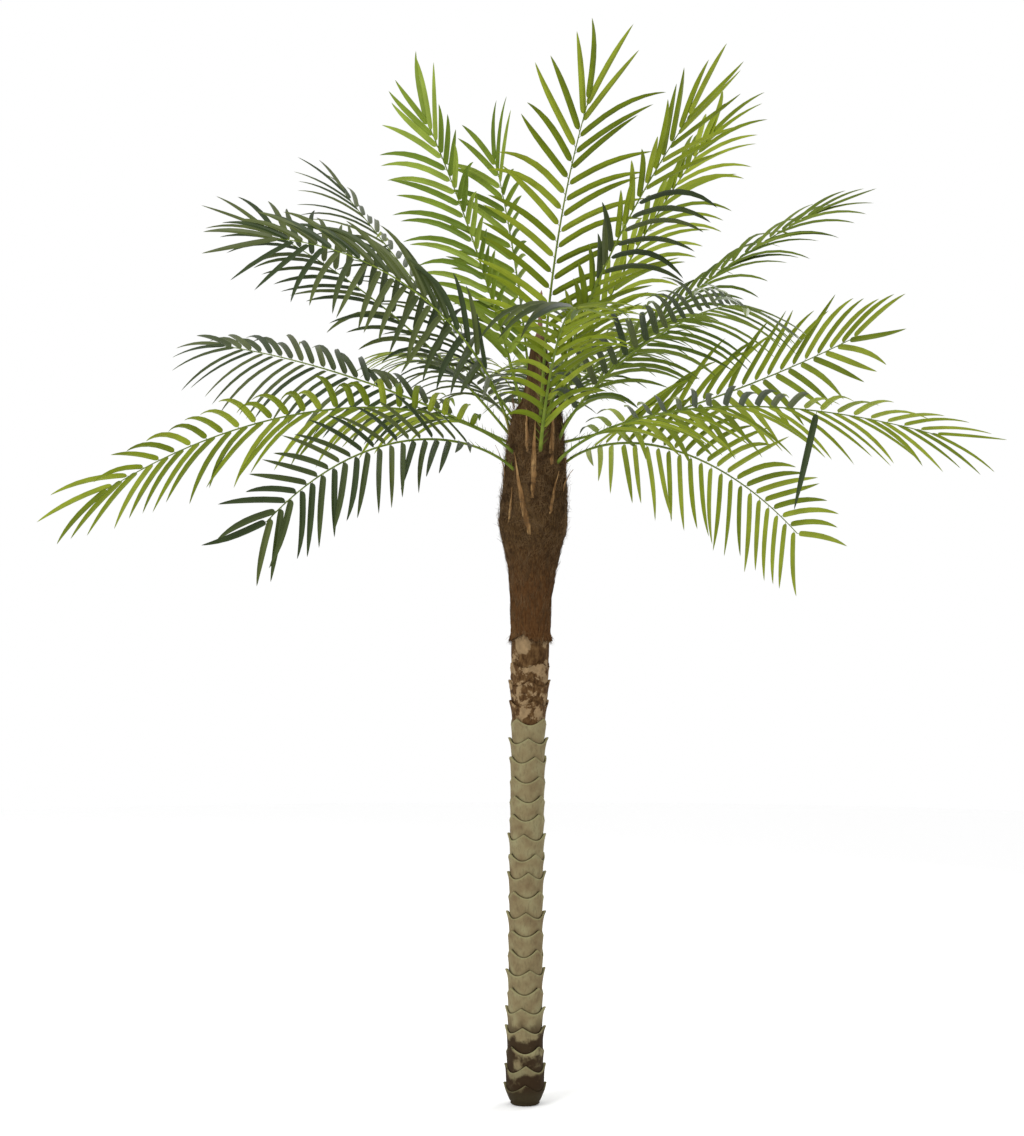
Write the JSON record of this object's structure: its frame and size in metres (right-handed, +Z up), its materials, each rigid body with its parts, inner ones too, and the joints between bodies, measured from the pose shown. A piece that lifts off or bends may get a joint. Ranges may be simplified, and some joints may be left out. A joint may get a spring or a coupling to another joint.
{
  "type": "artificial date palm tree",
  "caption": "Tall artificial date palm: ringed tapering trunk, coir-wrapped head with dry husk strips and a full crown of arching feathered fronds, fixed to the ground at its foot",
  "frame": {"origin": "middle of the flat cut under the trunk, on the ground", "axes": "Z up along the trunk, X to the right and Y away from someone who looks at the front"},
  "size_m": [2.5627, 2.2755, 2.9926],
  "materials": {
    "trunk": "moulded grey-green plastic with brown stain",
    "fibre": "matt brown coir cloth",
    "husk": "dry tan leaf-base strips",
    "frond": "green coated leaf cloth on a plastic rib"
  },
  "bodies": {
    "root": {"trunk": "trunk", "fibre_sleeve": "fibre", "husk_01": "husk", "husk_02": "husk", "husk_03": "husk", "husk_04": "husk", "husk_05": "husk", "husk_06": "husk", "husk_07": "husk", "husk_08": "husk", "husk_09": "husk", "husk_10": "husk", "husk_11": "husk", "husk_12": "husk", "husk_13": "husk", "husk_14": "husk", "husk_15": "husk", "husk_16": "husk", "frond_left_long": "frond", "frond_left_drooping": "frond", "frond_left_level": "frond", "frond_left_arching": "frond", "frond_left_slanting": "frond", "frond_left_back": "frond", "frond_left_upright": "frond", "frond_back_upright": "frond", "frond_top": "frond", "frond_front": "frond", "frond_right_upright": "frond", "frond_right_back": "frond", "frond_right_slanting": "frond", "frond_right_front": "frond", "frond_right_level": "frond", "frond_right_long": "frond", "frond_right_drooping": "frond", "frond_rear_right": "frond", "frond_rear_left": "frond", "frond_rear_low": "frond"}
  },
  "joints": []
}
